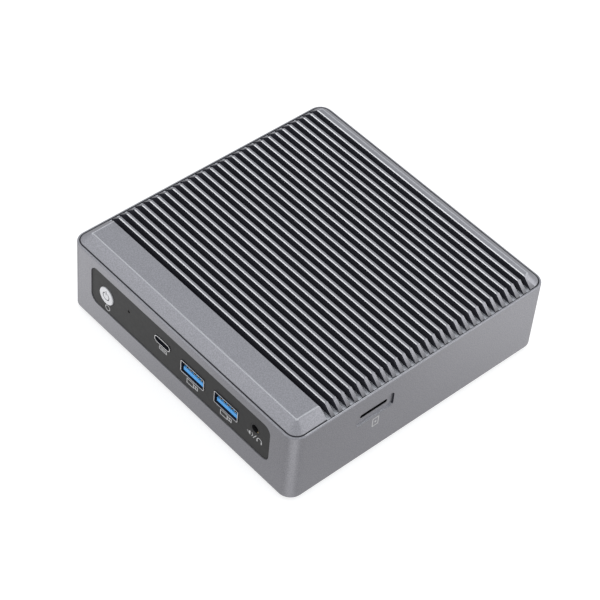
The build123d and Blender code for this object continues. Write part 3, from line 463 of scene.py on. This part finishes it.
class Sheet:
    """A flat face of the case on which marks are printed."""

    def __init__(self, face, turn, thickness):
        self.turn = Matrix.Rotation(math.radians(turn), 4, "Z") @ Matrix.Rotation(math.radians(90), 4, "X")
        self.face = Vector(face)
        self.thickness = thickness
        self.marks = []

    def put(self, u, v, angle=0.0):
        """Lays the new primitive on the face at u, v and gives it its thickness."""
        piece = bpy.context.object
        flat = Matrix.Translation((u, v, 0.0)) @ Matrix.Rotation(math.radians(angle), 4, "Z")
        piece.matrix_world = Matrix.Translation(self.face) @ self.turn @ flat @ piece.matrix_world

        def thicken():
            bpy.ops.mesh.select_all(action="SELECT")
            normal = self.turn.to_3x3() @ Vector((0.0, 0.0, self.thickness))
            bpy.ops.mesh.extrude_region_move(TRANSFORM_OT_translate={"value": normal})
            bpy.ops.mesh.select_all(action="SELECT")
            bpy.ops.mesh.normals_make_consistent(inside=False)

        settle(piece)
        in_edit(piece, thicken)
        self.marks.append(piece)

    def bar(self, u, v, width, height, angle=0.0):
        clear_selection()
        bpy.ops.mesh.primitive_plane_add(size=1.0)
        bpy.context.object.scale = (width, height, 1.0)
        settle(bpy.context.object)
        self.put(u, v, angle)

    def triangle(self, u, v, radius, angle=0.0):
        clear_selection()
        bpy.ops.mesh.primitive_circle_add(vertices=3, radius=radius, fill_type="NGON")
        self.put(u, v, angle)

    def arc(self, u, v, radius, line, start=0.0, sweep=360.0, corners=32):
        """A ring, or a part of one, drawn by spinning a short line."""
        clear_selection()
        bpy.ops.mesh.primitive_plane_add(size=1.0)
        piece = bpy.context.object
        ray = Matrix.Rotation(math.radians(start), 3, "Z") @ Vector((1.0, 0.0, 0.0))
        piece.data.clear_geometry()
        piece.data.from_pydata([ray * (radius - line / 2), ray * (radius + line / 2)], [(0, 1)], [])

        def spin():
            bpy.ops.mesh.select_all(action="SELECT")
            bpy.ops.mesh.spin(steps=corners, angle=math.radians(-sweep), center=(0, 0, 0), axis=(0, 0, 1))
            bpy.ops.mesh.select_all(action="SELECT")
            bpy.ops.mesh.remove_doubles(threshold=SPIN_MERGE)

        in_edit(piece, spin)
        self.put(u, v)

    def frame(self, u, v, width, height, line):
        """The outline of a rectangle."""
        for side in (-1, 1):
            self.bar(u, v + side * (height - line) / 2, width, line)
            self.bar(u + side * (width - line) / 2, v, line, height - 2 * line)


# ------------------------------------------------------------------ finishes

FINISHES = {}


def make_finishes(settings_case, settings_panel, settings_port):
    """Fills the table of finishes that the pieces share."""
    case = blasted_metal("Blasted grey metal", settings_case.metal, settings_case.grain)
    # painted shade: a much darker band where the cover meets the case
    seam_shade_band = (case.axis("Z") < SEAM_SHADE[1]) * (case.axis("Z") > SEAM_SHADE[0])
    case.feed("Base Color", case.mix(seam_shade_band, case.fed("Base Color"), case.shade(0.2)))
    FINISHES["cover"] = case.material
    ends = blasted_metal("Fin ends with painted shade", settings_case.metal, settings_case.grain)
    # painted shade: darker towards the foot of the fins, lighter higher up
    shade_fade = (ends.axis("Z") - FIN_END_FOOT) * (1 / FIN_END_RISE)
    ends.feed("Base Color", ends.mix(shade_fade, ends.shade(0.42), ends.shade(0.90)))
    FINISHES["fin_end_painted_shade"] = ends.material
    body = blasted_metal("Marked case metal", settings_case.metal, settings_case.grain)
    body.print_card_and_shade_slot(settings_panel.ink)
    FINISHES["body"] = body.material
    # black coat of the grooves, also used as painted shade elsewhere
    FINISHES["groove"] = plain_finish("Groove coat and painted shade", settings_case.groove, 0.7, 1.2 * MM, specular=0.0,
                                      depth=0.004 * MM)
    FINISHES["crease_highlight"] = blasted_metal("Crease highlight", settings_case.crease_highlight, settings_case.grain, 0.36).material
    FINISHES["channel"] = blasted_metal("Groove floor with painted light", settings_case.channel, settings_case.grain).material
    # bare cut metal, lightened as a painted highlight
    FINISHES["edge"] = plain_finish("Cut edge highlight", settings_case.edge, 0.42, 0.9 * MM, metallic=0.7,
                                    depth=0.004 * MM)
    FINISHES["panel"] = plain_finish("Panel plastic", settings_panel.plastic, 0.56, 0.22 * MM, spread=0.10,
                                     specular=0.28)
    FINISHES["ink"] = plain_finish("Printed ink", settings_panel.ink, 0.6, 0.2 * MM, spread=0.12)
    FINISHES["button"] = brushed_finish("Satin button", settings_panel.button, 0.34, (1.0, 1.0, 0.05),
                                        metallic=0.55, spread=0.04)
    FINISHES["symbol"] = plain_finish("Symbol paint", (0.09, 0.09, 0.10), 0.5, 0.2 * MM)
    FINISHES["tongue"] = tongue_finish("Blue tongue", settings_port.tongue)
    FINISHES["plating"] = brushed_finish("Nickel plating", settings_port.plating, 0.26, (1.0, 0.06, 1.0))
    FINISHES["socket"] = brushed_finish("Socket inside", settings_port.inside, 0.4, (1.0, 0.06, 1.0),
                                        metallic=0.6)
    FINISHES["gold"] = brushed_finish("Gold plating", settings_port.gold, 0.24, (1.0, 0.08, 1.0), spread=0.06)
    FINISHES["black"] = plain_finish("Black plastic", (0.012, 0.012, 0.013), 0.45, 0.3 * MM)
    FINISHES["rubber"] = plain_finish("Foot rubber", (0.018, 0.018, 0.018), 0.78, 0.4 * MM, depth=0.05 * MM)
    FINISHES["screw"] = brushed_finish("Black screw", (0.10, 0.10, 0.105), 0.38, (1.0, 1.0, 1.0))
    FINISHES["board"] = plain_finish("Solder mask", (0.012, 0.060, 0.030), 0.38, 0.5 * MM, coat=0.3)
    FINISHES["chip"] = plain_finish("Chip body", (0.022, 0.022, 0.025), 0.55, 0.15 * MM)
    FINISHES["silicon"] = plain_finish("Silicon", (0.14, 0.15, 0.19), 0.12, 0.4 * MM, metallic=0.6,
                                       spread=0.03)
    FINISHES["pad"] = plain_finish("Thermal pad", (0.42, 0.45, 0.49), 0.8, 0.4 * MM, depth=0.06 * MM)
    FINISHES["choke"] = plain_finish("Pressed ferrite", (0.075, 0.075, 0.082), 0.7, 0.25 * MM,
                                     depth=0.05 * MM)
    FINISHES["can"] = brushed_finish("Bright can", (0.74, 0.74, 0.76), 0.22, (1.0, 1.0, 0.05))
    FINISHES["light"] = plain_finish("Light pipe", (0.72, 0.70, 0.52), 0.3, 0.4 * MM)


# The order of the finishes on a piece gives the number that its faces carry
SHELL_FINISHES = ("body", "groove", "crease_highlight")
COVER_FINISHES = ("cover", "groove", "edge", "channel", "crease_highlight", "fin_end_painted_shade")

PLAIN_NODES = {
    "black": ["power_switch", "power_switch_stem", "reset_switch", "reset_switch_stem", "card_reader_base",
              "card_reader_slider", "memory_socket", "ssd_socket", "wifi_socket", "cell_holder"],
    "screw": ["heatsink_screws", "board_screws", "m2_screws"],
    "board": ["motherboard", "cpu_substrate", "memory_module", "ssd_board", "wifi_card"],
    "chip": ["memory_chips", "ssd_chips"],
    "silicon": ["cpu_die"],
    "pad": ["thermal_pad"],
    "choke": ["power_chokes"],
    "can": ["capacitors", "coin_cell"],
    "gold": ["card_reader_contacts", "audio_contacts", "lan_contacts", "m2_standoffs", "dc_jack_pin"],
    "plating": ["card_reader_cover", "memory_latch_left", "memory_latch_right"],
    "light": ["lan_lights"],
}


# ------------------------------------------------------------------ operators


class MINIPC_OT_case(bpy.types.Operator):
    """Finish the case and the finned cover"""

    bl_idname = "minipc.case"
    bl_label = "Case and fins"

    def execute(self, context):
        self.finish_shell()
        self.finish_cover(context.scene.minipc_case.edge_width)
        return {"FINISHED"}

    def finish_shell(self):
        """The ring of walls, with the recess of the card slot in it."""
        metal, recess_painted_shade, light = range(len(SHELL_FINISHES))
        shell = skin("body_shell", FINISHES["body"])
        paint(shell, *(FINISHES[name] for name in SHELL_FINISHES))
        for face in shell.data.polygons:
            spot, normal = face.center, face.normal
            in_recess = (CARD_RECESS[0] < spot.x < CARD_RECESS[1]
                         and abs(spot.y - CARD_SLOT_Y) < CARD_RECESS_HALF)
            # painted highlight on the lower wall of the card recess, painted shade on its end wall that faces
            # the front
            if in_recess and normal.x < 0.3:
                face.material_index = light if normal.z > 0.7 else recess_painted_shade if normal.y < -0.2 else metal

    def finish_cover(self, edge_width):
        """The finned top: its fins get a bevelled edge in bare metal with a painted highlight, and each kind
        of face its own finish, with painted highlights and painted shade among them.
        """
        metal, groove, edge_highlight, channel, crease_highlight, fin_end_painted_shade = range(len(COVER_FINISHES))
        low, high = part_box("body_shell")
        rim = high.z
        first_groove, last_groove = low.y + 15.8 * MM, high.y - 7.0 * MM
        fin_foot = rim - 0.35 * MM          # faces above this belong to the fins
        fin_shoulder = rim + 3.4 * MM       # rounded tops of the fins start here
        crease_foot = rim + 3.3 * MM
        skirt_top = rim + 0.2 * MM          # walls below this stand in the case
        cover = merged_copy("heatsink_cover", "finned_cover")
        paint(cover, *(FINISHES[name] for name in COVER_FINISHES))

        def cut_edges():
            bpy.ops.mesh.select_mode(type="EDGE")
            bpy.ops.mesh.select_all(action="DESELECT")
            mesh = bmesh.from_edit_mesh(cover.data)
            for edge in mesh.edges:
                if len(edge.link_faces) == 2 and min(v.co.z for v in edge.verts) > rim - 0.4 * MM:
                    wall, slope = sorted(edge.link_faces, key=lambda face: -abs(face.normal.y))
                    end = abs(wall.normal.y) > 0.95 and slope.normal.z > 0.3 and abs(slope.normal.x) > 0.1
                    edge.select = end and abs(slope.normal.y) < 0.2
            bmesh.update_edit_mesh(cover.data)
            # the bevels along the ends of the fins carry the painted highlight
            bpy.ops.mesh.bevel(offset=edge_width, segments=1, clamp_overlap=True, material=edge_highlight)

        in_edit(cover, cut_edges)
        for face in cover.data.polygons:
            normal, height = face.normal, face.center.z
            if height > fin_foot and first_groove < face.center.y < last_groove:
                if abs(normal.y) > 0.95:
                    face.material_index = groove
                # painted highlight on the front bevels of the fins; the rear bevels get the black coat as
                # painted shade
                elif abs(normal.y) > 0.35 and normal.z > 0.3 and height > fin_shoulder:
                    face.material_index = edge_highlight if normal.y < 0.0 else groove
                # the floors of the grooves get the lighter copy of the metal as painted light
                elif normal.z > 0.95 and height < rim:
                    face.material_index = channel
                # the ends and tops of the fins get the metal with painted shade towards their foot
                elif face.material_index == metal and (abs(normal.x) > 0.3 or normal.z > 0.95):
                    face.material_index = fin_end_painted_shade
            # painted highlight along the rounded bend round the flat top
            elif 0.86 < normal.z < 0.99 and height > crease_foot:
                face.material_index = crease_highlight
            # painted shade: the cover's skirt that stands in the gap gets the black coat
            if abs(normal.z) < 0.3 and height < skirt_top:
                face.material_index = groove
        smooth(cover, 28.0)


class MINIPC_OT_panels(bpy.types.Operator):
    """Finish the front and rear panels and print their marks"""

    bl_idname = "minipc.panels"
    bl_label = "Panels and marks"

    def execute(self, context):
        settings = context.scene.minipc_panel
        line = settings.mark_line
        skin("front_panel", FINISHES["panel"])
        skin("rear_panel", FINISHES["panel"])
        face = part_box("front_panel")[0].y
        sheet = Sheet((0.0, face, 0.0), 0.0, settings.ink_thickness)
        # Small ring under the button
        sheet.arc(-41.6 * MM, 15.0 * MM, 1.25 * MM, line)
        # Pill shape under the small port
        u, v = -8.7 * MM, 20.0 * MM
        sheet.frame(u, v, 4.4 * MM, 1.7 * MM, line)
        sheet.bar(u, v, 2.8 * MM, line)
        # Plug shape under each large port: a grip, a sheath and the two holes in the sheath
        v = 16.05 * MM
        for u in (8.4 * MM, 27.45 * MM):
            sheath = u + 1.9 * MM
            sheet.frame(u - 1.2 * MM, v, 4.0 * MM, 2.6 * MM, line)
            sheet.frame(sheath, v, 2.4 * MM, 1.9 * MM, line)
            for hole in (0.4 * MM, -0.4 * MM):
                sheet.bar(sheath, v + hole, 0.6 * MM, 0.4 * MM)
        # Speaker, stroke and headphones under the round socket
        v = 19.4 * MM
        sheet.triangle(40.1 * MM, v, 1.25 * MM, angle=90.0)
        sheet.bar(39.5 * MM, v, 0.8 * MM, 1.0 * MM)
        sheet.arc(40.7 * MM, v, 1.25 * MM, 0.3 * MM, -50.0, 100.0, 12)
        sheet.bar(43.1 * MM, v, 0.3 * MM, 2.9 * MM, -34.0)
        sheet.arc(45.6 * MM, 19.3 * MM, 1.2 * MM, line, 0.0, 180.0, 18)
        for side in (-1, 1):
            sheet.bar((45.6 + side * 1.15) * MM, 18.8 * MM, 0.55 * MM, 1.1 * MM)
        join(sheet.marks, "front_marks", FINISHES["ink"])
        return {"FINISHED"}


class MINIPC_OT_button(bpy.types.Operator):
    """Finish the power button and the paint in its sunk mark"""

    bl_idname = "minipc.button"
    bl_label = "Power button"

    def execute(self, context):
        cap = merged_copy("power_button", "button_cap", "power_key")
        paint(cap, FINISHES["button"], FINISHES["symbol"])
        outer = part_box("power_button")[0].y
        for face in cap.data.polygons:
            if face.normal.y < -0.9 and 0.1 * MM < face.center.y - outer < 0.2 * MM:
                face.material_index = 1     # the floor of the sunk mark
        smooth(cap)
        return {"FINISHED"}


class MINIPC_OT_sockets(bpy.types.Operator):
    """Finish the sockets and lay the contacts on their tongues"""

    bl_idname = "minipc.sockets"
    bl_label = "Sockets"

    def execute(self, context):
        settings = context.scene.minipc_port
        for end, outward in (("front", -1), ("rear", 1)):
            for side in ("left", "right"):
                name = f"{end}_usb_{side}"
                self.shell(f"{name}_shell")
                skin(f"{name}_insert", FINISHES["tongue"])
                self.usb_contacts(name, outward, settings.contact_count)
        for side in ("left", "right"):
            self.shell(f"hdmi_{side}_shell")
            skin(f"hdmi_{side}_insert", FINISHES["black"])
        self.shell("usb_c_shell")
        for node, finish in (("usb_c_insert", "black"), ("audio_jack", "black"),
                             ("lan_shield", "plating"), ("lan_insert", "black"), ("dc_jack", "black")):
            skin(node, FINISHES[finish])
        spring = join([box(SPRING_LOW, SPRING_HIGH)], "audio_spring", FINISHES["gold"])
        modify(spring, "BEVEL", width=0.1 * MM, segments=3)
        return {"FINISHED"}

    def shell(self, node):
        """A plated sheet-metal shell with shaded inner walls."""
        piece = skin(node, FINISHES["plating"])
        paint(piece, FINISHES["plating"], FINISHES["socket"])
        low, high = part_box(node)
        for face in piece.data.polygons:
            spot = face.center
            margin = min(spot.x - low.x, high.x - spot.x, spot.z - low.z, high.z - spot.z)
            if margin > 0.2 * MM and abs(face.normal.y) < 0.5:
                face.material_index = 1     # an inner wall

    def usb_contacts(self, name, outward, count):
        """Gold strips on the top of a tongue, in line with its length."""
        pitch, half_width, thickness = 2.0 * MM, 0.5 * MM, 0.08 * MM
        shell_low, shell_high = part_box(f"{name}_shell")
        insert_low, insert_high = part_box(f"{name}_insert")
        mouth = insert_low.y if outward < 0 else insert_high.y
        middle = (shell_low.x + shell_high.x) / 2
        mesh = NODES[f"{name}_insert"].data
        top = max(v.co.z for v in mesh.vertices if abs(v.co.y - mouth) < 0.01 * MM)
        near, far = sorted((mouth - outward * 0.35 * MM, mouth - outward * 3.4 * MM))
        strips = []
        for index in range(count):
            x = middle + (index - (count - 1) / 2) * pitch
            strips.append(box((x - half_width, near, top), (x + half_width, far, top + thickness)))
        whole = join(strips, f"{name}_contacts", FINISHES["gold"])
        modify(whole, "BEVEL", width=0.03 * MM, segments=1)


class MINIPC_OT_underside(bpy.types.Operator):
    """Finish the bottom cover, its screws and the feet"""

    bl_idname = "minipc.underside"
    bl_label = "Underside"

    def execute(self, context):
        skin("bottom_cover", FINISHES["black"])
        skin("bottom_cover_screws", FINISHES["screw"])
        skin("rubber_feet", FINISHES["rubber"])
        return {"FINISHED"}


class MINIPC_OT_inside(bpy.types.Operator):
    """Finish the parts that the case hides"""

    bl_idname = "minipc.inside"
    bl_label = "Inside"

    def execute(self, context):
        for finish, names in PLAIN_NODES.items():
            for name in names:
                paint(NODES[name], FINISHES[finish])
        return {"FINISHED"}


class MINIPC_OT_stage(bpy.types.Operator):
    """Set up the floor, the lights and the camera"""

    bl_idname = "minipc.stage"
    bl_label = "Stage"

    def execute(self, context):
        scene = context.scene
        settings = scene.minipc_stage
        self.lay_floor(settings)
        scene.world = self.make_room(settings)
        for name, place, size, setting, share in LIGHTS:
            self.soft_box(name, place, size, getattr(settings, setting) * share)
        camera = bpy.data.objects.new("camera", bpy.data.cameras.new("camera"))
        scene.collection.objects.link(camera)
        camera.data.lens = settings.lens
        camera.data.clip_start, camera.data.clip_end = 0.01, 20.0
        camera.matrix_world = Matrix.Translation(CAMERA_PLACE) @ Matrix(CAMERA_TURN).to_4x4()
        scene.camera = camera
        scene.view_settings.view_transform = "Standard"
        return {"FINISHED"}

    def lay_floor(self, settings):
        """A pale floor that glows and leaves the object's own light alone."""
        clear_selection()
        bpy.ops.mesh.primitive_plane_add(size=8.0, location=(0.0, 0.0, 0.0))
        floor = bpy.context.object
        floor.name = "floor"
        surface = plain_finish("Studio floor", settings.floor, 0.9, 2.0 * MM, spread=0.01)
        glow = surface.node_tree.nodes["Principled BSDF"].inputs
        glow["Emission Color"].default_value = (1.0, 1.0, 1.0, 1.0)
        glow["Emission Strength"].default_value = settings.glow
        paint(floor, surface)
        floor.visible_diffuse = False
        floor.visible_glossy = False
        floor.visible_shadow = False

    def make_room(self, settings):
        """Even light that is a little dimmer from below the horizon."""
        world = bpy.data.worlds.new("Room")
        world.use_nodes = True
        room = Nodes(world.node_tree)
        direction = room.node("ShaderNodeTexCoord", out="Generated")
        height = room.node("ShaderNodeSeparateXYZ", out="Z", Vector=direction)
        stops = ((0.0, (*settings.ground, 1.0)), (SKY_START, SKY_COLOUR))
        sky = room.node("ShaderNodeValToRGB", {"stops": stops}, out="Color", Fac=height)
        background = world.node_tree.nodes["Background"].inputs
        plug(room.tree, background["Color"], sky)
        plug(room.tree, background["Strength"], settings.sky)
        return world

    def soft_box(self, name, place, size, power):
        """A square soft light that looks at the middle of the case."""
        clear_selection()
        bpy.ops.object.light_add(type="AREA", location=place)
        light = bpy.context.object
        light.name = name
        light.data.shape = "SQUARE"
        light.data.size = size
        light.data.energy = power
        light.visible_camera = False
        light.rotation_euler = (Vector(LIGHT_TARGET) - Vector(place)).to_track_quat("-Z", "Y").to_euler()


class MINIPC_PT_panel(bpy.types.Panel):
    """Lists the steps and the settings"""

    bl_label = "Mini PC"
    bl_idname = "MINIPC_PT_panel"
    bl_space_type = "VIEW_3D"
    bl_region_type = "UI"
    bl_category = "Mini PC"

    def draw(self, context):
        for group in GROUPS:
            settings = getattr(context.scene, group)
            for key in settings.bl_rna.properties.keys():
                if key not in ("rna_type", "name"):
                    self.layout.prop(settings, key)
        for step in STEPS:
            self.layout.operator(step.bl_idname)


GROUPS = {
    "minipc_case": CaseSettings,
    "minipc_panel": PanelSettings,
    "minipc_port": PortSettings,
    "minipc_stage": StageSettings,
}
STEPS = (MINIPC_OT_case, MINIPC_OT_panels, MINIPC_OT_button, MINIPC_OT_sockets, MINIPC_OT_underside,
         MINIPC_OT_inside, MINIPC_OT_stage)


def register():
    for kind in (*GROUPS.values(), *STEPS, MINIPC_PT_panel):
        bpy.utils.register_class(kind)
    for name, group in GROUPS.items():
        setattr(bpy.types.Scene, name, PointerProperty(type=group))


def unregister():
    for name in GROUPS:
        delattr(bpy.types.Scene, name)
    for kind in reversed((*GROUPS.values(), *STEPS, MINIPC_PT_panel)):
        bpy.utils.unregister_class(kind)


def main():
    register()
    scene = bpy.context.scene
    make_finishes(scene.minipc_case, scene.minipc_panel, scene.minipc_port)
    for step in STEPS:
        group, name = step.bl_idname.split(".")
        getattr(getattr(bpy.ops, group), name)()


if __name__ == "__main__":
    main()
